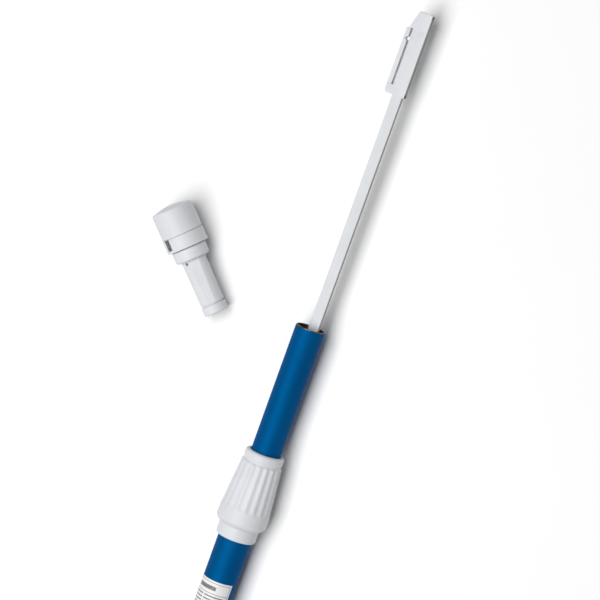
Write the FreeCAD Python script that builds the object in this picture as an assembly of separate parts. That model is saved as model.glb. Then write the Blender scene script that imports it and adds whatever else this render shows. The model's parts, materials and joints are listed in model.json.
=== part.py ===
import FreeCAD, Part
import math
import os

# Head and body of a two-stage telescoping banner pole, in millimetres.
# +X runs along the pole from its foot to its open mouth, +Z is up from the
# floor it lies on, +Y is to the left. The origin is the middle of the foot's
# end face, on the axis of the pole.

# ---------------------------------------------------------------- pole tubes
LOWER_R = 12.5            # lower tube, outside radius over its coating (25 mm pipe)
LOWER_STEEL_R = 12.2      # lower tube, outside radius of the steel
LOWER_BORE_R = 11.3       # lower tube, bore radius
UPPER_R = 11.0            # upper tube, outside radius over its coating (22 mm pipe)
UPPER_STEEL_R = 10.7      # upper tube, outside radius of the steel
UPPER_BORE_R = 10.0       # upper tube, bore radius
SKIN_GAP = 0.01           # gap between a coating and the steel under it
MOUTH_X = 1612.0          # open end of the upper tube
UPPER_START_X = 64.2      # inner end of the upper tube
BARE_RIM = 0.6            # bare steel left at the mouth

# ---------------------------------------------------------------- foot cap
FOOT_R = 13.5
FOOT_LENGTH = 46.0
FOOT_WALL = 4.0
FOOT_BORE_R = 12.55

# ---------------------------------------------------------------- twist lock
NUT_TOP_X = MOUTH_X - 97.0
NUT_LENGTH = 56.4
NUT_X = NUT_TOP_X - NUT_LENGTH      # lower end of the nut
NUT_MAX_R = 18.8
NUT_BASE_R = 16.0
NUT_SHOULDER_R = 15.3
NUT_NECK_R = 14.1
BEAD_R = 14.6
FLUTES = 18
FLUTE_TURN = 5.0          # turn of the first flute from straight up
FLUTE_TOOL_R = 3.0
FLUTE_DEPTH = 0.75
NUT_BORE_R = 14.05
NUT_LIP_R = 11.5
RING_R = 14.9             # part of the collet body that shows below the nut
RING_LENGTH = 10.0
RING_GAP = 0.4
SLEEVE_R = 13.95
SLEEVE_TOP = 33.5         # above the nut's lower end
TUBE_END = 25.5           # end of the lower tube above the nut's lower end
GUIDE_R = 11.08           # bore of the collet body round the upper tube
CLAMP_BORE_R = 11.1
CLAMP_SLITS = 6
CLAMP_SLIT = 1.2
WIPER_BORE_R = 11.06

# ---------------------------------------------------------------- upper tube fittings
BUSH_R = 11.2
BUSH_LENGTH = 16.0
SPIGOT_R = 9.95
SPIGOT_LENGTH = 24.0
BUSH_PIN_R = 1.5

# ---------------------------------------------------------------- arm
ARM_LENGTH = 850.0
ARM_OUT = 240.2           # tip of the arm beyond the mouth, as it rests
ARM_OFFSET = -2.6         # bar's middle, across the pole
ARM_ROLL = -7.0           # turn of the arm about the pole's axis
BAR_WIDTH = 8.0
BAR_THICK = 3.2
HEAD_LENGTH = 62.2
HEAD_LEFT = 10.7          # from the bar's middle to the finger's outer edge
HEAD_RIGHT = 5.6
HEAD_THICK = 4.6
SLOT_LOW = 5.4
SLOT_HIGH = 7.2
SLOT_FROM_TIP = 55.3      # closed end of the finger slot, back from the tip
FINGER_TIP = 13.4         # free end of the finger, back from the tip
HOOK_FROM_TIP = 12.8      # start of the nose beyond the finger
HOOK_WIDTH = 9.0
NOTCH_FROM_TIP = 21.2
NOTCH_R = 1.4
RIVET_FROM_TIP = 16.0
RIVET_ASIDE = -0.4
RIVET_R = 1.0
RIVET_HEAD_R = 1.6
RIVET_HEAD_SUNK = 0.45
RIVET_HEAD_PROUD = 0.1
STORED_TIP = 67.5         # tip of the stored arm below the mouth

# ---------------------------------------------------------------- swivel cap
STEM_LENGTH = 42.5
STEM_TOP_R = 9.75
STEM_LOW_R = 9.25
END_RING_R = 9.3
END_RING_LENGTH = 6.7
GROOVE_R = 8.1
GROOVE_WIDTH = 1.0
FLAT_DEPTH = 0.9
FLANGE_R = 12.95
FLANGE_LENGTH = 9.0
WASHER_THICK = 0.3
HOLDER_X = 9.5
HOLDER_LENGTH = 10.3
HOLDER_R = 15.7
HOLDER_TURN = -10.0       # how far the head is swivelled on its stem
WINDOW_OFFSET = 11.0
WINDOW_WIDTH = 3.6
WINDOW_HEIGHT = 8.3
DOME_R = 15.6
DOME_SIDE = 19.9
DOME_CROWN = 2.6
SEAM_WIDTH = 0.5          # groove between the dome and the holder
SEAM_DEPTH = 0.9
AXLE_R = 4.0
CAP_ALONG = 13.4          # the lying cap's flange, beyond the mouth
CAP_ASIDE = 101.9         # and to the left of the pole
CAP_HEADING = 42.8        # direction of its axis on the floor
CAP_ROLL = 18.0

# ---------------------------------------------------------------- label
LABEL_FROM_MOUTH = 196.8
LABEL_LENGTH = 62.0
LABEL_THICK = 0.12
LABEL_EDGE = 158.5        # one long edge, round the tube from +Y
LABEL_SPAN = 183.0

X_AXIS = FreeCAD.Vector(1, 0, 0)
ORIGIN = FreeCAD.Vector(0, 0, 0)


def floor_z(x):
    """Height of the floor under the pole, which lies on its nut and its foot cap."""
    near = FOOT_LENGTH - 1.0
    far = NUT_X + 4.3
    slope = (NUT_MAX_R - FOOT_R) / (far - near)
    return -FOOT_R - slope * (x - near)


def turned(points):
    """Solid of revolution about the X axis from a closed outline of (x, radius) points."""
    wire = Part.makePolygon([FreeCAD.Vector(x, r, 0) for x, r in points + points[:1]])
    return Part.Face(wire).revolve(ORIGIN, X_AXIS, 360)


def rod(x0, x1, radius):
    return Part.makeCylinder(radius, x1 - x0, FreeCAD.Vector(x0, 0, 0), X_AXIS)


def pipe(x0, x1, outer, inner):
    return rod(x0, x1, outer).cut(rod(x0 - 1, x1 + 1, inner))


def block(x0, x1, y0, y1, z0, z1):
    return Part.makeBox(x1 - x0, y1 - y0, z1 - z0, FreeCAD.Vector(x0, y0, z0))


def arc_points(x, r, radius, start, end, steps=6):
    """Points of a rounded corner about (x, r), angles in degrees from +X towards +r."""
    out = []
    for i in range(steps + 1):
        a = math.radians(start + (end - start) * i / steps)
        out.append((x + radius * math.cos(a), r + radius * math.sin(a)))
    return out


def round_edges(shape, radius, wanted):
    """Fillet of the edges that the test picks out."""
    edges = [e for e in shape.Edges if wanted(e)]
    return shape.makeFillet(radius, edges)


def along_x(edge):
    a = edge.Vertexes[0].Point
    b = edge.Vertexes[-1].Point
    return abs(a.x - b.x) > 2.0 and abs(a.y - b.y) < 0.01 and abs(a.z - b.z) < 0.01


# ------------------------------------------------------------------ lower pole
def foot_cap():
    tip = arc_points(1.5, FOOT_R - 1.5, 1.5, 180, 90)
    rim = arc_points(FOOT_LENGTH - 0.6, FOOT_R - 0.6, 0.6, 90, 0)
    bore = [(FOOT_LENGTH, FOOT_BORE_R), (FOOT_WALL, FOOT_BORE_R), (FOOT_WALL, 0)]
    return turned([(0, 0)] + tip + rim + bore)


def lower_tube_steel():
    return pipe(FOOT_WALL + 0.2, NUT_X + TUBE_END, LOWER_STEEL_R, LOWER_BORE_R)


def lower_tube_coating():
    return pipe(FOOT_WALL + 0.2, NUT_X + TUBE_END, LOWER_R, LOWER_STEEL_R + SKIN_GAP)


def blank_label():
    """Thin sticker that wraps about half way round the lower tube."""
    top = MOUTH_X - LABEL_FROM_MOUTH
    inner = LOWER_R + 0.02
    outline = [
        FreeCAD.Vector(top - LABEL_LENGTH, inner, 0),
        FreeCAD.Vector(top, inner, 0),
        FreeCAD.Vector(top, inner + LABEL_THICK, 0),
        FreeCAD.Vector(top - LABEL_LENGTH, inner + LABEL_THICK, 0),
    ]
    face = Part.Face(Part.makePolygon(outline + outline[:1]))
    shape = face.revolve(ORIGIN, X_AXIS, LABEL_SPAN)
    shape.rotate(ORIGIN, X_AXIS, LABEL_EDGE - LABEL_SPAN)
    return shape


def collet_body():
    """Ring that shows under the nut, with the sleeve that the nut screws on to."""
    low = NUT_X - RING_GAP - RING_LENGTH
    foot = arc_points(low + 1.3, RING_R - 1.3, 1.3, 180, 90)
    outer = [(NUT_X - RING_GAP - 0.3, RING_R), (NUT_X - RING_GAP, RING_R - 0.3)]
    sleeve = [
        (NUT_X - RING_GAP, SLEEVE_R),
        (NUT_X + SLEEVE_TOP - 0.6, SLEEVE_R),
        (NUT_X + SLEEVE_TOP, SLEEVE_R - 0.6),
        (NUT_X + SLEEVE_TOP, GUIDE_R),
        (NUT_X + TUBE_END + 0.4, GUIDE_R),
        (NUT_X + TUBE_END + 0.4, FOOT_BORE_R),
        (low, FOOT_BORE_R),
    ]
    return turned(foot + outer + sleeve)


# ------------------------------------------------------------------ twist lock
def clamp_ring():
    """Split chuck: a collar with tapered jaws that the nut squeezes on the upper tube."""
    low = NUT_X + SLEEVE_TOP + 0.5
    outline = [
        (low, CLAMP_BORE_R),
        (low, 13.3),
        (NUT_X + 36.0, 13.45),
        (NUT_X + 46.4, 12.3),
        (NUT_X + 46.6, 12.0),
        (NUT_X + 46.6, CLAMP_BORE_R),
    ]
    shape = turned(outline)
    slits = []
    for i in range(CLAMP_SLITS):
        slit = block(low + 3.2, NUT_X + 50, 5, 20, -CLAMP_SLIT / 2, CLAMP_SLIT / 2)
        slit.rotate(ORIGIN, X_AXIS, i * 360.0 / CLAMP_SLITS)
        slits.append(slit)
    return shape.cut(slits)


def nut_outline():
    """Outside of the nut from its lower end to its bead, then back along the inside."""
    outer = [
        (0.0, NUT_BORE_R),
        (0.0, NUT_BASE_R - 0.4),
        (0.4, NUT_BASE_R + 0.1),
        (2.2, NUT_MAX_R - 0.6),
        (2.6, NUT_MAX_R - 0.3),
        (3.2, NUT_MAX_R - 0.08),
        (4.3, NUT_MAX_R),
        (8.0, NUT_MAX_R - 0.05),
        (12.0, 18.52),
        (16.0, 18.24),
        (20.0, 17.92),
        (24.0, 17.58),
        (28.0, 17.2),
        (32.0, 16.8),
        (36.0, 16.4),
        (40.0, 16.0),
        (44.0, 15.6),
        (46.5, NUT_SHOULDER_R),
    ]
    shoulder = arc_points(46.9, 13.65, 1.65, 80, 20, 5)
    neck = [(49.2, NUT_NECK_R), (50.1, NUT_NECK_R)]
    bead_low = arc_points(51.4, BEAD_R - 1.6, 1.6, 136, 90, 4)
    bead_high = arc_points(NUT_LENGTH - 2.2, BEAD_R - 2.2, 2.2, 90, 0, 6)
    inner = [
        (NUT_LENGTH, NUT_LIP_R + 0.4),
        (NUT_LENGTH - 0.4, NUT_LIP_R),
        (54.6, NUT_LIP_R),
        (54.6, 12.9),
        (50.4, 12.9),
        (50.4, 12.35),
        (47.0, 12.35),
        (36.0, 13.56),
        (36.0, 13.8),
        (34.2, 13.8),
        (34.2, NUT_BORE_R),
    ]
    return outer + shoulder + neck + bead_low + bead_high + inner


def flute_tool(turn):
    """Round-ended cutter that leans with the side of the nut."""
    lift = FLUTE_TOOL_R - FLUTE_DEPTH
    low = FreeCAD.Vector(NUT_X + 13.4, 0, 18.42 + lift)
    high = FreeCAD.Vector(NUT_X + 50.0, 0, 15.0 + lift)
    bar = Part.makeCylinder(FLUTE_TOOL_R, (high - low).Length, low, high - low)
    end = Part.makeSphere(FLUTE_TOOL_R, low)
    tool = bar.fuse(end)
    tool.rotate(ORIGIN, X_AXIS, turn)
    return tool


def lock_nut():
    points = [(NUT_X + x, r) for x, r in nut_outline()]
    shape = turned(points)
    for i in range(FLUTES):
        shape = shape.cut(flute_tool(FLUTE_TURN + i * 360.0 / FLUTES))
    return shape


def wiper_ring():
    """Felt ring in the bead of the nut that wipes the upper tube."""
    return pipe(NUT_X + 50.6, NUT_X + 54.4, 12.85, WIPER_BORE_R)


# ------------------------------------------------------------------ upper pole
def upper_tube_steel():
    shape = turned(
        [
            (UPPER_START_X, UPPER_BORE_R),
            (UPPER_START_X, UPPER_STEEL_R),
            (MOUTH_X - 0.2, UPPER_STEEL_R),
            (MOUTH_X, UPPER_STEEL_R - 0.2),
            (MOUTH_X, UPPER_BORE_R + 0.15),
            (MOUTH_X - 0.15, UPPER_BORE_R),
        ]
    )
    return shape.cut(bush_pin_holes())


def upper_tube_coating():
    shape = turned(
        [
            (UPPER_START_X, UPPER_STEEL_R + SKIN_GAP),
            (UPPER_START_X, UPPER_R),
            (MOUTH_X - BARE_RIM - 0.3, UPPER_R),
            (MOUTH_X - BARE_RIM, UPPER_R - 0.2),
            (MOUTH_X - BARE_RIM, UPPER_STEEL_R + SKIN_GAP),
        ]
    )
    return shape.cut(bush_pin_holes())


def bush_pin_at(radius, reach):
    """Pair of radial pins through the upper tube into the spigot of its bush."""
    x = UPPER_START_X + 12.0
    pins = []
    for turn in (0, 180):
        pin = Part.makeCylinder(radius, reach - 5.0, FreeCAD.Vector(x, 0, 5.0), FreeCAD.Vector(0, 0, 1))
        pin.rotate(ORIGIN, X_AXIS, turn)
        pins.append(pin)
    return pins


def bush_pin_holes():
    return Part.Compound(bush_pin_at(BUSH_PIN_R + 0.02, 14.0))


def bush_pins():
    limit = rod(UPPER_START_X, UPPER_START_X + SPIGOT_LENGTH, UPPER_R - 0.02)
    return Part.Compound([pin.common(limit) for pin in bush_pin_at(BUSH_PIN_R, 14.0)])


def guide_bush():
    """Plug in the inner end of the upper tube; its collar runs in the lower tube."""
    front = UPPER_START_X - 0.2
    back = front - BUSH_LENGTH
    outline = [
        (back, 0),
        (back, BUSH_R - 1.0),
        (back + 1.0, BUSH_R),
        (back + 5.0, BUSH_R),
        (back + 5.6, BUSH_R - 0.8),
        (back + 10.0, BUSH_R - 0.8),
        (back + 10.6, BUSH_R),
        (front, BUSH_R),
        (front, SPIGOT_R),
        (front + SPIGOT_LENGTH - 1.0, SPIGOT_R),
        (front + SPIGOT_LENGTH, SPIGOT_R - 1.0),
        (front + SPIGOT_LENGTH, 0),
    ]
    return turned(outline).cut(bush_pin_holes())


def arm_rest_plug():
    """Plug inside the upper tube that the stored arm stands on."""
    top = MOUTH_X - STORED_TIP - ARM_LENGTH - 2.5
    outline = [
        (top - 18.0, 0),
        (top - 18.0, SPIGOT_R - 0.8),
        (top - 17.2, SPIGOT_R),
        (top - 12.0, SPIGOT_R),
        (top - 11.5, SPIGOT_R - 0.6),
        (top - 6.5, SPIGOT_R - 0.6),
        (top - 6.0, SPIGOT_R),
        (top - 0.8, SPIGOT_R),
        (top, SPIGOT_R - 0.8),
        (top, 7.0),
        (top - 1.5, 6.0),
        (top - 1.5, 0),
    ]
    return turned(outline)


# ------------------------------------------------------------------ arm
# The arm is drawn flat, with y across the bar and z through it, and then rolled.
TIP_X = MOUTH_X + ARM_OUT
TAIL_X = TIP_X - ARM_LENGTH


def rolled(shape):
    shape.rotate(ORIGIN, X_AXIS, ARM_ROLL)
    return shape


def rivet_rod(radius, low, high):
    x = TIP_X - RIVET_FROM_TIP
    y = ARM_OFFSET + RIVET_ASIDE
    return Part.makeCylinder(radius, high - low, FreeCAD.Vector(x, y, low), FreeCAD.Vector(0, 0, 1))


def arm_bar():
    y = ARM_OFFSET
    half = BAR_WIDTH / 2
    shape = block(TAIL_X + 3.0, TIP_X - 11.0, y - half, y + half, -BAR_THICK / 2, BAR_THICK / 2)
    shape = round_edges(shape, 0.45, along_x)
    return rolled(shape.cut(rivet_rod(RIVET_R + 0.02, -6.0, 6.0)))


def clip_head():
    """Flat moulded head on the bar's end, slotted down one side for the finger."""
    y = ARM_OFFSET
    low = TIP_X - HEAD_LENGTH
    slot = TIP_X - SLOT_FROM_TIP
    hook = TIP_X - HOOK_FROM_TIP
    half = HEAD_THICK / 2
    outline = [
        (low, y - HEAD_RIGHT),
        (TIP_X - 0.8, y - HEAD_RIGHT),
        (TIP_X, y - HEAD_RIGHT + 0.8),
        (TIP_X, y + SLOT_LOW - 0.4),
        (TIP_X - 0.4, y + SLOT_LOW),
        (hook, y + HOOK_WIDTH),
        (hook, y + SLOT_LOW),
    ]
    slot_r = (SLOT_HIGH - SLOT_LOW) / 2
    bend = arc_points(slot + slot_r, y + SLOT_LOW + slot_r, slot_r, 270, 180, 5)
    seat = [(slot, y + SLOT_HIGH), (slot, y + HEAD_LEFT)]
    corner = arc_points(low + 2.0, y + HEAD_LEFT - 2.0, 2.0, 90, 180, 6)
    points = outline + bend + seat + corner
    wire = Part.makePolygon([FreeCAD.Vector(a, b, -half) for a, b in points + points[:1]])
    shape = Part.Face(wire).extrude(FreeCAD.Vector(0, 0, HEAD_THICK))
    side = y - HEAD_RIGHT
    shape = round_edges(shape, 0.5, lambda e: along_x(e) and abs(e.Vertexes[0].Point.y - side) < 0.01)
    room = 0.05
    pocket = block(
        low - 1,
        TIP_X - 10.9,
        y - BAR_WIDTH / 2 - room,
        y + BAR_WIDTH / 2 + room,
        -BAR_THICK / 2 - room,
        BAR_THICK / 2 + room,
    )
    shape = shape.cut(pocket).cut(rivet_rod(RIVET_R + 0.02, -6.0, 6.0))
    seat_level = half - RIVET_HEAD_SUNK - 0.02
    shape = shape.cut(rivet_rod(RIVET_HEAD_R + 0.05, seat_level, 6.0))
    return rolled(shape.cut(rivet_rod(RIVET_HEAD_R + 0.05, -6.0, -seat_level)))


def head_rivet():
    """Steel rivet that holds the moulded head on the bar, with a low head on each face."""
    half = HEAD_THICK / 2
    top = half + RIVET_HEAD_PROUD
    under = half - RIVET_HEAD_SUNK
    shape = rivet_rod(RIVET_R, -under, under)
    shape = shape.fuse(rivet_rod(RIVET_HEAD_R, under, top)).fuse(rivet_rod(RIVET_HEAD_R, -top, -under))
    shape = round_edges(shape, 0.08, lambda e: abs(abs(e.CenterOfMass.z) - top) < 0.01)
    return rolled(shape)


def clip_finger():
    """Springy finger beside the slot, with a round notch and a rounded free end."""
    y = ARM_OFFSET
    low = TIP_X - SLOT_FROM_TIP + 0.3
    high = TIP_X - FINGER_TIP
    half = HEAD_THICK / 2
    tip = arc_points(high - 0.9, y + HEAD_LEFT - 0.9, 0.9, 90, 0, 4)
    points = [(high, y + SLOT_HIGH), (low, y + SLOT_HIGH), (low, y + HEAD_LEFT)] + tip
    wire = Part.makePolygon([FreeCAD.Vector(a, b, -half) for a, b in points + points[:1]])
    shape = Part.Face(wire).extrude(FreeCAD.Vector(0, 0, HEAD_THICK))
    centre = FreeCAD.Vector(TIP_X - NOTCH_FROM_TIP, y + SLOT_HIGH + 0.3, -half - 1)
    shape = shape.cut(Part.makeCylinder(NOTCH_R, HEAD_THICK + 2, centre))
    return rolled(shape)


def arm_tail_cap():
    """Small moulded cap that closes the inner end of the bar."""
    y = ARM_OFFSET
    room = 0.05
    shape = block(TAIL_X, TAIL_X + 14, y - 4.9, y + 4.9, -2.4, 2.4)
    shape = round_edges(shape, 0.6, lambda e: True)
    pocket = block(
        TAIL_X + 2.9,
        TAIL_X + 15,
        y - BAR_WIDTH / 2 - room,
        y + BAR_WIDTH / 2 + room,
        -BAR_THICK / 2 - room,
        BAR_THICK / 2 + room,
    )
    return rolled(shape.cut(pocket))


# ------------------------------------------------------------------ swivel cap
# The cap is drawn along +X from the underside of its flange, and then laid on
# the floor: its holder's lower edge and the end of its stem touch the floor.
def cap_slope():
    """Angle of the lying cap's axis above the floor."""
    reach = HOLDER_X + STEM_LENGTH - 0.9
    rise = HOLDER_R - (END_RING_R - 0.1)
    return math.degrees(math.atan2(rise, reach))


def laid(shape):
    slope = cap_slope()
    x = MOUTH_X + CAP_ALONG
    lift = HOLDER_R * math.cos(math.radians(slope)) - HOLDER_X * math.sin(math.radians(slope))
    place = FreeCAD.Placement(
        FreeCAD.Vector(x, CAP_ASIDE, floor_z(x) + lift + 0.05),
        FreeCAD.Rotation(CAP_HEADING, -slope, CAP_ROLL),
    )
    out = shape.copy()
    out.Placement = place.multiply(out.Placement)
    return out


def cap_stem():
    """Flange and tapered plug that goes into the mouth of the upper tube."""
    low = -STEM_LENGTH + END_RING_LENGTH
    flange = arc_points(1.4, FLANGE_R - 1.4, 1.4, 180, 90, 5)
    outline = (
        [(low - 4.0, AXLE_R + 0.02), (low - 4.0, 7.0), (low, 7.0), (low, GROOVE_R)]
        + [(low + GROOVE_WIDTH, GROOVE_R), (low + GROOVE_WIDTH, STEM_LOW_R)]
        + [(0, STEM_TOP_R)]
        + flange
        + [(FLANGE_LENGTH - 0.3, FLANGE_R), (FLANGE_LENGTH, FLANGE_R - 0.3)]
        + [(FLANGE_LENGTH, AXLE_R + 0.02)]
    )
    shape = turned(outline)
    for i in range(4):
        shape = shape.cut(flat_tool(4 + 90 * i))
    hole = Part.makeCylinder(1.25, 6, FreeCAD.Vector(-2.0, 0, 5.2), FreeCAD.Vector(0, 0, 1))
    hole.rotate(ORIGIN, X_AXIS, -38)
    return laid(shape.cut(hole))


def flat_tool(turn):
    """Cutter for one flat of the stem; its far end is rounded."""
    level = STEM_TOP_R - FLAT_DEPTH
    low = -30.0
    width = 12.0
    bar = block(low, -0.8, -width, width, level, level + 5)
    end = Part.makeCylinder(5.0, 5, FreeCAD.Vector(low, 0, level))
    tool = bar.common(block(low, 1, -5, 5, 0, 30)).fuse(end)
    tool.rotate(ORIGIN, X_AXIS, -turn)
    return tool


def stem_end_ring():
    low = -STEM_LENGTH
    top = low + END_RING_LENGTH
    nose = arc_points(low + 1.0, END_RING_R - 1.0, 1.0, 180, 90, 5)
    outline = nose + [(top - 0.3, END_RING_R), (top - 0.05, END_RING_R - 0.3), (top - 0.05, 7.05), (low, 7.05)]
    return laid(turned(outline))


def swivel_axle():
    """Headless pin through the stem; the head turns on it under a clip."""
    low = -STEM_LENGTH + END_RING_LENGTH - 3.0
    clip = HOLDER_X + HOLDER_LENGTH + 0.3
    outline = [
        (low, 0),
        (low, AXLE_R - 0.5),
        (low + 0.5, AXLE_R),
        (clip - 0.05, AXLE_R),
        (clip - 0.05, 3.3),
        (clip + 1.05, 3.3),
        (clip + 1.05, AXLE_R),
        (clip + 2.6, AXLE_R),
        (clip + 3.1, AXLE_R - 0.5),
        (clip + 3.1, 0),
    ]
    return laid(turned(outline))


def swivel_washer():
    return laid(pipe(FLANGE_LENGTH + 0.02, FLANGE_LENGTH + WASHER_THICK, 11.3, AXLE_R + 0.03))


def axle_clip():
    """Open spring clip in the groove of the axle."""
    clip = HOLDER_X + HOLDER_LENGTH + 0.3
    shape = pipe(clip, clip + 1.0, 5.9, 3.35)
    return laid(shape.cut(block(clip - 1, clip + 2, 0, 10, -1.6, 1.6)))


def arm_holder():
    """Ring with a window off to one side that the bar of the arm is passed through."""
    x = HOLDER_X
    top = x + HOLDER_LENGTH
    outline = [
        (x, AXLE_R + 0.08),
        (x, HOLDER_R - 0.4),
        (x + 0.4, HOLDER_R),
        (top - 0.1, HOLDER_R),
        (top, HOLDER_R - 0.1),
        (top, AXLE_R + 0.08),
    ]
    shape = turned(outline)
    half = WINDOW_WIDTH / 2
    low = top - WINDOW_HEIGHT
    window = block(low, top + 1, WINDOW_OFFSET - half, WINDOW_OFFSET + half, -20, 20)
    shape = shape.cut(window)
    shape.rotate(ORIGIN, X_AXIS, HOLDER_TURN)
    return laid(shape)


def dome_cap():
    """Hollow dome that closes the top of the holder."""
    low = HOLDER_X + HOLDER_LENGTH + 0.05
    edge = low + DOME_SIDE
    rise = DOME_CROWN
    crown_r = (rise * rise + 14.0 * 14.0) / (2 * rise)
    crown = []
    for i in range(9):
        r = 14.0 * (8 - i) / 8
        crown.append((edge + rise - crown_r + math.sqrt(crown_r * crown_r - r * r), r))
    bevel = arc_points(edge - 1.4, DOME_R - 1.6, 1.6, 90, 25, 5)
    seam = [(low, DOME_R - SEAM_DEPTH), (low + SEAM_WIDTH, DOME_R - SEAM_DEPTH), (low + SEAM_WIDTH, DOME_R)]
    outline = [(low, 7.5)] + seam + bevel + crown
    cavity = [(edge - 1.0, 0), (edge - 2.5, 8.0), (edge - 4.0, 12.0), (low + 5.0, 12.0), (low + 4.5, 7.5)]
    return laid(turned(outline + cavity))


# Node name of each sub-part, and the function that makes it.
NODES = [
    ("foot_cap", foot_cap),
    ("lower_tube_steel", lower_tube_steel),
    ("lower_tube_coating", lower_tube_coating),
    ("blank_label", blank_label),
    ("collet_body", collet_body),
    ("clamp_ring", clamp_ring),
    ("lock_nut", lock_nut),
    ("wiper_ring", wiper_ring),
    ("upper_tube_steel", upper_tube_steel),
    ("upper_tube_coating", upper_tube_coating),
    ("guide_bush", guide_bush),
    ("bush_pins", bush_pins),
    ("arm_rest_plug", arm_rest_plug),
    ("arm_bar", arm_bar),
    ("clip_head", clip_head),
    ("head_rivet", head_rivet),
    ("clip_finger", clip_finger),
    ("arm_tail_cap", arm_tail_cap),
    ("cap_stem", cap_stem),
    ("stem_end_ring", stem_end_ring),
    ("swivel_axle", swivel_axle),
    ("swivel_washer", swivel_washer),
    ("axle_clip", axle_clip),
    ("arm_holder", arm_holder),
    ("dome_cap", dome_cap),
]


def main():
    os.makedirs("parts", exist_ok=True)
    for name, make in NODES:
        shape = make()
        solids = len(shape.Solids)
        valid = shape.isValid()
        shape.exportStep("parts/" + name + ".step")
        print(name, "solids", solids, "valid", valid, "volume", round(shape.Volume, 1))


main()
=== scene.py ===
import json
import math

import bpy
from mathutils import Matrix, Vector


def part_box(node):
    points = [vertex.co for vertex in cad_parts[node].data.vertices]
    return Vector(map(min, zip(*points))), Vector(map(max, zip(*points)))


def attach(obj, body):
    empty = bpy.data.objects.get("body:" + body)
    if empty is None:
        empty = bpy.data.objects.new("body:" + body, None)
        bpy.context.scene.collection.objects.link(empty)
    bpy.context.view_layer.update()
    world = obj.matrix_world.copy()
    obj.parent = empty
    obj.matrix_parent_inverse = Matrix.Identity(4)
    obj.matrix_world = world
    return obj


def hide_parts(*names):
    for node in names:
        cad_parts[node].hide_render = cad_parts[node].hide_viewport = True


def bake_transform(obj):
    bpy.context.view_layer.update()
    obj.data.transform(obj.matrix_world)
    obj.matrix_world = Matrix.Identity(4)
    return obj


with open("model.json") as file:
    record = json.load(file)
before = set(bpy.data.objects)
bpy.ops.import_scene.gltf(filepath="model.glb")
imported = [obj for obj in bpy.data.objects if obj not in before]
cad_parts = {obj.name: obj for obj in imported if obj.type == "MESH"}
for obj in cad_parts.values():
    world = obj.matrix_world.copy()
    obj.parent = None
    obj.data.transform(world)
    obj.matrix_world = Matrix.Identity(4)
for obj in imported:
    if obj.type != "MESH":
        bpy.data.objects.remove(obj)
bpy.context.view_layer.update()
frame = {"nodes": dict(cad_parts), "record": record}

MM = 0.001

# Places read from the CAD frame, in metres.
MOUTH_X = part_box("upper_tube_steel")[1].x           # open end of the upper tube
NUT_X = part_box("lock_nut")[0].x                     # lower end of the nut
NUT_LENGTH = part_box("lock_nut")[1].x - NUT_X
TIP_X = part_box("clip_head")[1].x                    # tip of the cross arm's clip
LABEL_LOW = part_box("blank_label")[0]
LABEL_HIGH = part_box("blank_label")[1]


# ---------------------------------------------------------------- camera
def camera():
    """Long lens over the open end of the pole, tipped towards the head and to the right."""
    pitch = math.radians(9.52)      # the pole's head end leans this much towards the lens
    side = math.radians(-15.06)     # and the lens stands this far to the pole's right
    lean = math.radians(19.77)      # lean of the pole to the right of upright in the picture
    distance = 2.5
    pixels_per_metre = 1394.0
    towards = Vector((math.sin(pitch), math.sin(side), 0.0))
    towards.z = math.sqrt(1.0 - towards.length_squared)
    along = (Vector((1, 0, 0)) - towards * towards.x).normalized()
    left = towards.cross(along)
    up = along * math.cos(lean) + left * math.sin(lean)
    right = up.cross(towards)
    aim = Vector((MOUTH_X, 0, 0)) + right * -0.0077 + up * 0.0200
    data = bpy.data.cameras.new("camera")
    data.sensor_width = 36.0
    data.lens = pixels_per_metre * distance * data.sensor_width / 600.0
    data.clip_start = 0.05
    data.clip_end = 20.0
    made = bpy.data.objects.new("camera", data)
    turn = Matrix((right, up, towards)).transposed().to_4x4()
    made.matrix_world = Matrix.Translation(aim + towards * distance) @ turn
    bpy.context.collection.objects.link(made)
    bpy.context.scene.camera = made
    return right, towards, aim


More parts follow.
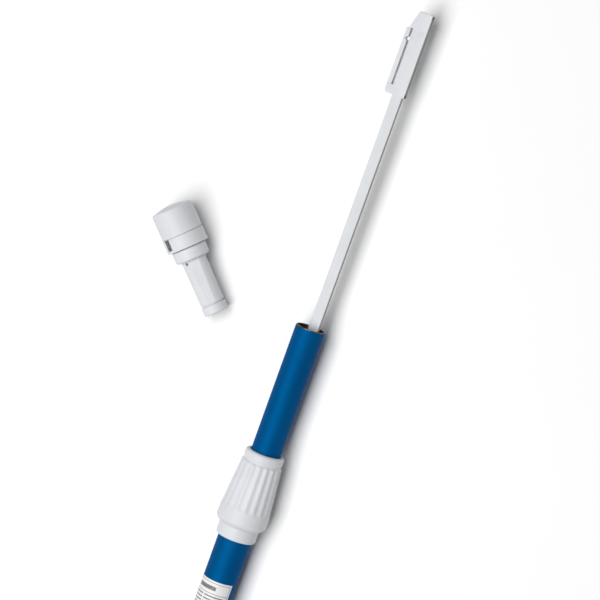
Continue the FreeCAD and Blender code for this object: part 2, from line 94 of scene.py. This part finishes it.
# ---------------------------------------------------------------- node helpers
class Nodes:
    """A new material's node tree, with short calls to add and join its nodes."""

    def __init__(self, name):
        self.material = bpy.data.materials.new(name)
        self.material.use_nodes = True
        self.tree = self.material.node_tree
        self.shader = self.tree.nodes["Principled BSDF"]
        self.place = self.add("ShaderNodeTexCoord").outputs["Object"]

    def add(self, kind, **values):
        node = self.tree.nodes.new(kind)
        for key, value in values.items():
            setattr(node, key, value)
        return node

    def link(self, source, target):
        self.tree.links.new(source, target)

    def put(self, node, name, value):
        """A value on a node's input, or a link to it from another node's socket."""
        socket = node.inputs[name]
        if isinstance(value, bpy.types.NodeSocket):
            self.link(value, socket)
        else:
            socket.default_value = value

    def stretched(self, x, y, z):
        """Object coordinates scaled along each axis, so that a small number draws noise out."""
        node = self.add("ShaderNodeMapping")
        self.link(self.place, node.inputs["Vector"])
        node.inputs["Scale"].default_value = (x, y, z)
        return node.outputs["Vector"]

    def noise(self, scale, detail=4.0, rough=0.55, vector=None):
        """Fractal noise, scale in waves per metre."""
        node = self.add("ShaderNodeTexNoise")
        self.link(vector or self.place, node.inputs["Vector"])
        node.inputs["Scale"].default_value = scale
        node.inputs["Detail"].default_value = detail
        node.inputs["Roughness"].default_value = rough
        return node.outputs["Fac"]

    def spread(self, value, low, high, new_low=0.0, new_high=1.0):
        """A value clamped to low..high and carried over to new_low..new_high."""
        node = self.add("ShaderNodeMapRange")
        self.link(value, node.inputs["Value"])
        node.inputs["From Min"].default_value = low
        node.inputs["From Max"].default_value = high
        node.inputs["To Min"].default_value = new_low
        node.inputs["To Max"].default_value = new_high
        return node.outputs["Result"]

    def mix(self, factor, first, second):
        """Colour between first and second, each an RGB tuple or a socket."""
        node = self.add("ShaderNodeMix", data_type="RGBA")
        self.put(node, 0, factor)
        for index, colour in ((6, first), (7, second)):
            if isinstance(colour, bpy.types.NodeSocket):
                self.link(colour, node.inputs[index])
            else:
                node.inputs[index].default_value = (*colour, 1.0)
        return node.outputs[2]

    def maths(self, operation, first, second):
        node = self.add("ShaderNodeMath", operation=operation)
        self.put(node, 0, first)
        self.put(node, 1, second)
        return node.outputs[0]

    def bump(self, layers):
        """Chain of bumps: (height socket, strength, depth in metres)."""
        normal = None
        for height, strength, depth in layers:
            node = self.add("ShaderNodeBump")
            node.inputs["Strength"].default_value = strength
            node.inputs["Distance"].default_value = depth
            self.link(height, node.inputs["Height"])
            if normal is not None:
                self.link(normal, node.inputs["Normal"])
            normal = node.outputs["Normal"]
        self.link(normal, self.shader.inputs["Normal"])

    def set(self, **values):
        """Values put on the shader's own sockets, by name with _ for a space."""
        for key, value in values.items():
            self.put(self.shader, key.replace("_", " "), value)


def between_colours(first, second, share):
    """RGB tuple part of the way from the first to the second."""
    return tuple(a + (b - a) * share for a, b in zip(first, second))


# ---------------------------------------------------------------- moulded pieces
def finished(name, mesh, slot, sharp=40.0, material=None):
    """Object of a new mesh, smooth apart from its sharp edges."""
    mesh.validate()
    mesh.update()
    for face in mesh.polygons:
        face.use_smooth = True
    mesh.set_sharp_from_angle(angle=math.radians(sharp))
    mesh.materials.append(found[material or slot])
    made = bpy.data.objects.new(name, mesh)
    bpy.context.collection.objects.link(made)
    return made


def arc(x, r, radius, start, end, steps):
    """Points of an arc about (x, r), angles in degrees from +X towards +r."""
    out = []
    for i in range(steps + 1):
        a = math.radians(start + (end - start) * i / steps)
        out.append((x + radius * math.cos(a), r + radius * math.sin(a)))
    return out


def swept(name, rows, sectors, slot, radius_at=None, sharp=40.0):
    """Closed surface round the X axis; rows of (x, radius) in metres go round its section."""
    points = []
    for x, r in rows:
        for k in range(sectors):
            turn = 2 * math.pi * k / sectors
            here = radius_at(x, r, turn) if radius_at else r
            points.append((x, here * math.cos(turn), here * math.sin(turn)))
    faces = []
    count = len(rows)
    for i in range(count):
        for k in range(sectors):
            a, b = i * sectors, (i + 1) % count * sectors
            n = (k + 1) % sectors
            faces.append((a + k, a + n, b + n, b + k))
    mesh = bpy.data.meshes.new(name)
    mesh.from_pydata(points, [], faces)
    return finished(name, mesh, slot, sharp)


FLUTES = 18
FIRST_FLUTE = math.radians(95.0)    # from +Y towards +Z
FLUTE_DEPTH = 0.70 * MM
SECTORS_PER_FLUTE = 16
# Side of the nut before its shoulder: distance from its lower end and radius, in millimetres.
NUT_SIDE = [
    (0, 18.72), (4.3, 18.785), (8, 18.73), (16, 18.24),
    (28, 17.2), (36, 16.4), (46.5, 15.35), (60, 14.0),
]
FLUTES_FROM = 11.0          # no flute starts below this
FLUTES_TO = 49.6            # or goes past the neck
FLUTE_FULL = 15.2           # a flute has its full width from here on
FLUTE_END = 3.6             # length of its round end
NECK_R = 14.2


def nut_side(a):
    """Radius of the nut's tapered side, a millimetres above its lower end."""
    for (a0, r0), (a1, r1) in zip(NUT_SIDE, NUT_SIDE[1:]):
        if a <= a1:
            return r0 + (r1 - r0) * (a - a0) / (a1 - a0)
    return NUT_SIDE[-1][1]


def fluted(x, r, turn):
    """Radius with the soft flutes, which start in a round end and run out over the shoulder."""
    a = (x - NUT_X) / MM
    if a < FLUTES_FROM or a > FLUTES_TO or r < NECK_R * MM:
        return r
    pitch = 2 * math.pi / FLUTES
    off = (turn - FIRST_FLUTE + pitch / 2) % pitch - pitch / 2
    across = abs(off) / (pitch / 2)
    before = max(0.0, (FLUTE_FULL - a) / FLUTE_END)
    near = max(0.0, 1.0 - math.hypot(across, before) / 0.97)
    cut = FLUTE_DEPTH * (0.5 - 0.5 * math.cos(math.pi * near)) ** 0.85
    return min(r, nut_side(a) * MM - cut)


def lock_nut():
    """Twist nut with a soft grip of flutes, a rounded shoulder and a rolled bead."""
    # lower edge and skirt
    outer = [(0.0, 14.05), (0.0, 15.6)] + arc(0.5, 16.4, 0.5, 180, 130, 4)
    outer += [(0.8, 17.3), (1.3, 17.8)]
    outer += arc(3.3, 16.95, 1.85, 150, 95, 7)
    # grip, with closer rows where the flutes begin
    a = 4.6
    while a < 46.3:
        outer.append((a, nut_side(a)))
        a += 0.6 if a < 17 else 1.6
    # shoulder, neck and bead
    outer += arc(46.6, 13.55, 1.8, 82, 28, 8)
    outer += [(48.7, 14.2), (49.2, 14.1), (49.7, 14.1)]
    outer += arc(51.3, 12.9, 1.7, 132, 92, 6)
    outer += arc(NUT_LENGTH / MM - 2.2, 12.4, 2.2, 88, 0, 9)
    # lip, groove of the wiper ring, cone over the clamp's jaws, bore
    inner = [(56.4, 11.9), (56.0, 11.5), (54.6, 11.5)]
    inner += [(54.6, 12.9), (50.4, 12.9), (50.4, 12.35)]
    inner += [(47.0, 12.35), (36.0, 13.56), (34.2, 13.8), (34.2, 14.05)]
    rows = [(NUT_X + a * MM, r * MM) for a, r in outer + inner]
    made = swept("grip_nut", rows, FLUTES * SECTORS_PER_FLUTE, "white_plastic", fluted, 50.0)
    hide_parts("lock_nut")
    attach(made, "nut")


# The clip is drawn flat, in millimetres: back from the arm's tip, and across from the bar's middle.
ARM_OFFSET = -2.6 * MM              # of the bar's middle from the pole's, towards +Y
ARM_ROLL = math.radians(-7.0)       # roll of the arm about the pole
CLIP_HALF = 2.3                     # half the clip's thickness
CLIP_LENGTH = 62.2
CLIP_LEFT = 10.7
CLIP_RIGHT = 5.6
ROOT = 55.3                         # closed end of the slot
SLOT_LOW = 5.4
SLOT_HIGH = 7.2
FINGER_END = 13.4
NOTCH_BACK = 21.2
NOTCH_R = 1.4
ROUNDING = 0.4
ROUNDING_STEPS = 4
OUTLINE_STEP = 1.6                  # longest straight piece of the outline


def inset(points, amounts):
    """Outline moved inwards, each edge by its own amount; the outline runs anticlockwise."""
    count = len(points)
    lines = []
    for i in range(count):
        p, q = Vector(points[i]), Vector(points[(i + 1) % count])
        along = (q - p).normalized()
        normal = Vector((-along.y, along.x))
        lines.append((p + normal * amounts[i], along))
    out = []
    for i in range(count):
        (p, d), (q, e) = lines[i - 1], lines[i]
        cross = d.x * e.y - d.y * e.x
        if abs(cross) < 1e-4:
            out.append(Vector(q))
            continue
        t = ((q - p).x * e.y - (q - p).y * e.x) / cross
        out.append(p + d * t)
    return out


def at_root(point):
    """Whether a point of a plate lies on the edge where head and finger join."""
    return abs(point[0] - (TIP_X / MM - ROOT)) < 0.01 and point[1] > SLOT_HIGH - 0.01


def plate(name, outline):
    """Flat moulding with rounded edges, apart from the edge where head and finger join."""
    fine = []
    for i, p in enumerate(outline):
        q = outline[(i + 1) % len(outline)]
        parts = max(1, int(math.hypot(q[0] - p[0], q[1] - p[1]) / OUTLINE_STEP))
        for k in range(parts):
            share = k / parts
            fine.append((p[0] + (q[0] - p[0]) * share, p[1] + (q[1] - p[1]) * share))
    points = [((TIP_X / MM - back), across) for back, across in fine]
    ahead = points[1:] + points[:1]
    if sum(p[0] * q[1] - q[0] * p[1] for p, q in zip(points, ahead)) < 0:
        points.reverse()
    rounded = []
    for i, p in enumerate(points):
        q = points[(i + 1) % len(points)]
        rounded.append(0.0 if at_root(p) and at_root(q) else 1.0)
    rings = []
    steps = ROUNDING_STEPS
    for side in (1, -1):
        for k in range(steps + 1):
            turn = math.pi / 2 * (k if side > 0 else steps - k) / steps
            back = ROUNDING * (1 - math.sin(turn))
            level = side * (CLIP_HALF - ROUNDING * (1 - math.cos(turn)))
            rings.append((inset(points, [back * n for n in rounded]), level))
    roll = Matrix.Rotation(ARM_ROLL, 3, "X")
    verts = []
    for ring, level in rings:
        for p in ring:
            verts.append(roll @ Vector((p.x * MM, ARM_OFFSET + p.y * MM, level * MM)))
    count = len(points)
    last = (len(rings) - 1) * count
    faces = [tuple(range(count)), tuple(reversed(range(last, last + count)))]
    for r in range(len(rings) - 1):
        for i in range(count):
            n = (i + 1) % count
            a, b = r * count, (r + 1) * count
            faces.append((a + n, a + i, b + i, b + n))
    mesh = bpy.data.meshes.new(name)
    mesh.from_pydata(verts, [], faces)
    return finished(name, mesh, "white_plastic", material="clip_white")


def clip():
    """Moulded head of the arm, and the sprung finger that grows out of its lower end."""
    slot_r = (SLOT_HIGH - SLOT_LOW) / 2
    nose = [(0.0, -CLIP_RIGHT + 0.8), (0.0, SLOT_LOW - 0.7), (0.5, SLOT_LOW - 0.1)]
    nose += [(12.4, 8.8), (12.8, 8.7)]
    slot_side = [(12.8, SLOT_LOW)]
    for x, across in arc(-ROOT + slot_r, SLOT_LOW + slot_r, slot_r, 270, 180, 6):
        slot_side.append((-x, across))
    corner = []
    for x, across in arc(-CLIP_LENGTH + 2.0, CLIP_LEFT - 2.0, 2.0, 90, 180, 6):
        corner.append((-x, across))
    foot = [(CLIP_LENGTH, -CLIP_RIGHT + 0.5), (CLIP_LENGTH - 0.5, -CLIP_RIGHT)]
    foot += [(0.8, -CLIP_RIGHT)]
    head = plate("clip_body", nose + slot_side + [(ROOT, CLIP_LEFT)] + corner + foot)
    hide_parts("clip_head")
    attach(head, "arm")

    outline = [(ROOT, SLOT_HIGH)]
    for x, across in arc(-NOTCH_BACK, SLOT_HIGH + 0.3, NOTCH_R, 192.0, -12.0, 12):
        outline.append((-x, across))
    outline += [(FINGER_END + 0.2, SLOT_HIGH), (FINGER_END, SLOT_HIGH + 0.2)]
    for x, across in arc(-FINGER_END - 0.9, CLIP_LEFT - 0.9, 0.9, 0, 90, 5):
        outline.append((-x, across))
    outline.append((ROOT, CLIP_LEFT))
    finger = plate("clip_spring", outline)
    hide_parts("clip_finger")
    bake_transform(finger)


# ---------------------------------------------------------------- materials
def blue_coating():
    """Satin resin skin on the pipes: faint flow along the pipe, fine orange peel, light rubs."""
    m = Nodes("blue_coating")
    deep = (0.0002, 0.074, 0.218)
    pale = (0.0004, 0.091, 0.260)
    cloud = m.noise(9.0, 3.0)
    flow = m.noise(60.0, 5.0, 0.6, m.stretched(0.12, 1.0, 1.0))
    tone = m.spread(m.maths("ADD", cloud, flow), 0.75, 1.25)
    colour = m.mix(tone, deep, pale)
    rub = m.noise(420.0, 3.0, 0.7, m.stretched(0.02, 1.0, 1.0))
    rubbed = m.spread(rub, 0.62, 0.74, 0.0, 0.35)
    colour = m.mix(rubbed, colour, (0.001, 0.112, 0.29))
    m.link(colour, m.shader.inputs["Base Color"])
    rough = m.spread(m.noise(150.0, 4.0, 0.6), 0.3, 0.7, 0.54, 0.66)
    m.link(rough, m.shader.inputs["Roughness"])
    m.set(Metallic=0.3, Specular_IOR_Level=0.10, Specular_Tint=(0.0, 0.35, 1.0, 1.0))
    peel = m.noise(900.0, 2.0, 0.5)
    m.bump([(peel, 0.12, 0.00012), (rub, 0.05, 0.00005)])
    return m.material


def facing_aside(m, sign):
    """How far a surface faces along the arm's own width, to sign times +Y before its roll."""
    node = m.add("ShaderNodeVectorMath", operation="DOT_PRODUCT")
    m.link(m.add("ShaderNodeTexCoord").outputs["Normal"], node.inputs[0])
    node.inputs[1].default_value = (0.0, sign * math.cos(ARM_ROLL), sign * math.sin(ARM_ROLL))
    return node.outputs["Value"]


def moulded_white(name, colour, shade, side=0.0, glow=0.12):
    """Satin moulded plastic with a fine spark-eroded grain and slight clouding.
    side is how far painted shade darkens the clip's right-hand face, with painted shadow at its two
    ends, and glow how far light soaks in."""
    m = Nodes(name)
    cloud = m.spread(m.noise(38.0, 4.0, 0.6), 0.35, 0.7)
    base = m.mix(cloud, colour, shade)
    speck = m.spread(m.noise(1500.0, 2.0, 0.5), 0.70, 0.78, 0.0, 0.10)
    base = m.mix(speck, base, between_colours(shade, (0.3, 0.29, 0.27), 0.4))
    if side:
        # painted shade: the clip's right-hand face, which is turned away from the key, is darkened
        # to a brown-grey
        split = m.add("ShaderNodeSeparateXYZ")
        m.link(m.place, split.inputs["Vector"])
        outer_y = ARM_OFFSET - CLIP_RIGHT * MM
        painted_right_face_shade = m.spread(split.outputs["Y"], outer_y + 0.7 * MM, outer_y + 0.2 * MM, 0.0, side)
        painted_right_face_shade = m.maths("MULTIPLY", painted_right_face_shade, m.spread(facing_aside(m, -1), 0.5, 0.85))
        base = m.mix(painted_right_face_shade, base, (0.25, 0.23, 0.19))
        # painted shadow: near black at the two ends of that right-hand face
        middle = TIP_X - CLIP_LENGTH * MM / 2
        from_middle = m.maths("ABSOLUTE", m.maths("SUBTRACT", split.outputs["X"], middle), 0.0)
        half = CLIP_LENGTH * MM / 2
        corner = m.spread(from_middle, half - 3.4 * MM, half - 2.2 * MM)
        base = m.mix(m.maths("MULTIPLY", painted_right_face_shade, corner), base, (0.04, 0.035, 0.03))
    m.link(base, m.shader.inputs["Base Color"])
    rough = m.spread(m.noise(260.0, 5.0, 0.65), 0.3, 0.7, 0.36, 0.50)
    m.link(rough, m.shader.inputs["Roughness"])
    m.set(Specular_IOR_Level=0.24, Subsurface_Weight=glow, Subsurface_Scale=0.003)
    m.set(Subsurface_Radius=(1.0, 0.85, 0.65))
    fine = m.noise(3800.0, 2.0, 0.5)
    swell = m.noise(120.0, 2.0, 0.5)
    m.bump([(fine, 0.10, 0.00003), (swell, 0.06, 0.00012)])
    return m.material


def white_bar():
    """White coated steel strip with faint drawing lines, and bare steel on its slit edges."""
    m = Nodes("white_bar")
    edge = m.spread(m.maths("ABSOLUTE", facing_aside(m, 1), 0.0), 0.55, 0.8, 0.0, 0.85)
    streak = m.noise(900.0, 4.0, 0.6, m.stretched(0.01, 1.0, 1.0))
    cloud = m.noise(30.0, 3.0)
    tone = m.spread(m.maths("ADD", streak, cloud), 0.8, 1.25)
    colour = m.mix(tone, (0.66, 0.675, 0.70), (0.60, 0.615, 0.64))
    bare = m.mix(m.noise(500.0, 4.0), (0.34, 0.31, 0.27), (0.24, 0.21, 0.18))
    m.link(m.mix(edge, colour, bare), m.shader.inputs["Base Color"])
    rough = m.spread(streak, 0.3, 0.7, 0.30, 0.42)
    m.link(rough, m.shader.inputs["Roughness"])
    m.set(Specular_IOR_Level=0.25)
    m.bump([(streak, 0.10, 0.00004), (m.noise(700.0, 2.0), 0.05, 0.00006)])
    return m.material


def tube_steel():
    """Bare drawn pipe, brown at the cut edge, with painted shade darkening it down the bore."""
    m = Nodes("tube_steel")
    split = m.add("ShaderNodeSeparateXYZ")
    m.link(m.place, split.inputs["Vector"])
    # painted shade: the steel goes nearly black down the bore, in patches
    inside = m.spread(split.outputs["X"], MOUTH_X - 0.008, MOUTH_X - 0.0006, 1.0, 0.0)
    painted_bore_shade_patches = m.spread(m.noise(160.0, 5.0, 0.7), 0.35, 0.65, 0.55, 1.0)
    metal = m.mix(m.noise(500.0, 4.0), (0.21, 0.17, 0.14), (0.11, 0.08, 0.06))
    colour = m.mix(m.maths("MULTIPLY", inside, painted_bore_shade_patches), metal, (0.016, 0.009, 0.005))
    m.link(colour, m.shader.inputs["Base Color"])
    lines = m.noise(1100.0, 4.0, 0.6, m.stretched(0.03, 1.0, 1.0))
    m.link(m.spread(lines, 0.3, 0.7, 0.28, 0.46), m.shader.inputs["Roughness"])
    m.set(Metallic=0.85)
    m.bump([(lines, 0.2, 0.00004)])
    return m.material


def pin_steel():
    """Turned steel, with fine marks round the pin."""
    m = Nodes("pin_steel")
    turned = m.noise(2200.0, 3.0, 0.6, m.stretched(1.0, 0.15, 0.15))
    m.link(m.mix(turned, (0.62, 0.62, 0.63), (0.46, 0.46, 0.48)), m.shader.inputs["Base Color"])
    m.link(m.spread(turned, 0.3, 0.7, 0.25, 0.42), m.shader.inputs["Roughness"])
    m.set(Metallic=0.95)
    m.bump([(turned, 0.2, 0.00003)])
    return m.material


def grey_plastic():
    """Dark grey engineering plastic with a matt grain."""
    m = Nodes("grey_plastic")
    grain = m.noise(1800.0, 3.0, 0.6)
    colour = m.mix(m.noise(80.0), (0.16, 0.16, 0.165), (0.11, 0.11, 0.115))
    m.link(colour, m.shader.inputs["Base Color"])
    m.link(m.spread(grain, 0.3, 0.7, 0.5, 0.66), m.shader.inputs["Roughness"])
    m.bump([(grain, 0.3, 0.00005)])
    return m.material


def dark_rubber():
    """Black rubber with light dust."""
    m = Nodes("dark_rubber")
    grain = m.noise(1300.0, 4.0, 0.65)
    dust = m.spread(m.noise(70.0, 5.0, 0.7), 0.5, 0.8, 0.0, 0.35)
    colour = m.mix(dust, (0.018, 0.018, 0.019), (0.07, 0.068, 0.064))
    m.link(colour, m.shader.inputs["Base Color"])
    m.link(m.spread(grain, 0.3, 0.7, 0.6, 0.8), m.shader.inputs["Roughness"])
    m.bump([(grain, 0.35, 0.00008)])
    return m.material


# The sticker's printing, in metres: down from its upper end, and across from its middle.
LABEL_R = 12.6 * MM
LABEL_EDGE = math.radians(158.5)    # from +Y towards +Z
LABEL_SPAN = math.radians(183.0)
FRAME_OUT = 1.4 * MM                # thin frame, in from the sticker's edge
FRAME_IN = 1.75 * MM
HEAD_LINE = (9.3 * MM, 9.65 * MM)
HEAD_BAR = (4.0 * MM, 7.0 * MM)
HEAD_BAR_HALF = 8.0 * MM
ROWS = (11.2 * MM, 56.0 * MM)
ROW_PITCH = 2.6 * MM
ROW_BAR = 0.9 * MM
ROW_ASIDE = (0.6 * MM, 15.5 * MM)   # each row is a pair of bars


def label_film():
    """White film with a thin printed frame and rows of plain bars, and no lettering."""
    m = Nodes("label_film")
    paper = m.mix(m.noise(300.0, 4.0), (0.80, 0.80, 0.80), (0.74, 0.745, 0.75))
    split = m.add("ShaderNodeSeparateXYZ")
    m.link(m.place, split.inputs["Vector"])
    turn = m.maths("ARCTAN2", split.outputs["Z"], split.outputs["Y"])
    down = m.maths("SUBTRACT", LABEL_HIGH.x, split.outputs["X"])
    half = LABEL_SPAN * LABEL_R / 2
    side = m.maths("MULTIPLY", m.maths("SUBTRACT", LABEL_EDGE, turn), LABEL_R)
    across = m.maths("ABSOLUTE", m.maths("SUBTRACT", side, half), 0.0)
    half_length = (LABEL_HIGH.x - LABEL_LOW.x) / 2
    lengthwise = m.maths("ABSOLUTE", m.maths("SUBTRACT", down, half_length), 0.0)

    def below(value, high):
        return m.maths("LESS_THAN", value, high)

    def between(value, low, high):
        return m.maths("MULTIPLY", m.maths("GREATER_THAN", value, low), below(value, high))

    def both(first, second):
        return m.maths("MULTIPLY", first, second)

    inside_frame = below(across, half - FRAME_OUT)
    row = m.maths("MODULO", m.maths("SUBTRACT", down, ROWS[0]), ROW_PITCH)
    rows = both(between(row, 0.0, ROW_BAR), between(down, *ROWS))
    marks = (
        both(between(across, half - FRAME_IN, half - FRAME_OUT),
             below(lengthwise, half_length - FRAME_OUT)),
        both(between(lengthwise, half_length - FRAME_IN, half_length - FRAME_OUT), inside_frame),
        both(between(down, *HEAD_LINE), inside_frame),
        both(between(down, *HEAD_BAR), below(across, HEAD_BAR_HALF)),
        both(rows, between(across, *ROW_ASIDE)),
    )
    ink = marks[0]
    for mark in marks[1:]:
        ink = m.maths("MAXIMUM", ink, mark)
    ink = both(ink, m.spread(m.noise(900.0, 3.0), 0.25, 0.55, 0.75, 1.0))
    m.link(m.mix(ink, paper, (0.16, 0.155, 0.15)), m.shader.inputs["Base Color"])
    m.link(m.spread(m.noise(500.0), 0.3, 0.7, 0.38, 0.5), m.shader.inputs["Roughness"])
    m.set(Specular_IOR_Level=0.3)
    m.bump([(m.noise(240.0, 3.0), 0.12, 0.00008)])
    return m.material


def materials():
    """Every record slot's material, and a second white for the clip, with painted shade on its
    right-hand face, by name.
    """
    white = (0.685, 0.698, 0.722)
    shade = (0.635, 0.650, 0.675)
    return {
        "blue_coating": blue_coating(),
        "white_plastic": moulded_white("white_plastic", white, shade),
        "clip_white": moulded_white("clip_white", white, shade, 0.9, 0.4),
        "white_bar": white_bar(),
        "tube_steel": tube_steel(),
        "pin_steel": pin_steel(),
        "grey_plastic": grey_plastic(),
        "dark_rubber": dark_rubber(),
        "label_film": label_film(),
    }


def dress_nodes():
    """Every CAD node gets the material of its record slot."""
    for part in frame["record"]["subparts"]:
        node = frame["nodes"][part["node"]]
        for slot in node.material_slots:
            slot.material = found[part["material_slot"]]


# ---------------------------------------------------------------- floor and light
def floor():
    """Flat floor just under the nut's widest place and the foot cap, which the pole lies on."""
    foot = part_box("foot_cap")
    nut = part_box("lock_nut")
    near = foot[1].x
    far = nut[0].x + 4.3 * MM
    slope = (nut[0].z - foot[0].z) / (far - near)
    gap = 0.25 * MM
    mesh = bpy.data.meshes.new("floor")
    size = 6.0
    corners = []
    for x, y in ((-size, -size), (size + 2, -size), (size + 2, size), (-size, size)):
        corners.append((x, y, foot[0].z + slope * (x - near) - gap))
    mesh.from_pydata(corners, [], [(0, 1, 2, 3)])
    made = bpy.data.objects.new("floor", mesh)
    bpy.context.collection.objects.link(made)
    m = Nodes("floor")
    paper = m.mix(m.noise(6.0, 3.0), (0.93, 0.93, 0.93), (0.91, 0.91, 0.91))
    m.link(paper, m.shader.inputs["Base Color"])
    m.set(Roughness=0.9, Specular_IOR_Level=0.1)
    mesh.materials.append(m.material)


def area(name, size, power, where, aim, along):
    """Soft light with its long side as near to a direction as its tilt allows."""
    data = bpy.data.lights.new(name, "AREA")
    data.shape = "RECTANGLE"
    data.size = size[0]
    data.size_y = size[1]
    data.energy = power
    made = bpy.data.objects.new(name, data)
    back = (where - aim).normalized()
    length = (along - back * along.dot(back)).normalized()
    turn = Matrix((length, back.cross(length), back)).transposed().to_4x4()
    made.matrix_world = Matrix.Translation(where) @ turn
    bpy.context.collection.objects.link(made)


def lights(right, towards, aim):
    """One large soft key along the pole, to the left of the lens, and a faint even fill."""
    world = bpy.data.worlds.new("studio")
    world.use_nodes = True
    world.node_tree.nodes["Background"].inputs["Color"].default_value = (1, 1, 1, 1)
    world.node_tree.nodes["Background"].inputs["Strength"].default_value = 0.12
    bpy.context.scene.world = world
    left_of_lens = math.radians(25)
    place = towards * math.cos(left_of_lens) - right * math.sin(left_of_lens)
    middle = aim - Vector((0.45, 0, 0))
    area("key", (3.4, 1.5), 81.5, middle + place * 2.4, middle, Vector((1, 0, 0)))


# ---------------------------------------------------------------- scene
right, towards, aim = camera()
found = materials()
dress_nodes()
lock_nut()
clip()
floor()
lights(right, towards, aim)

bpy.context.scene.view_settings.view_transform = "Standard"
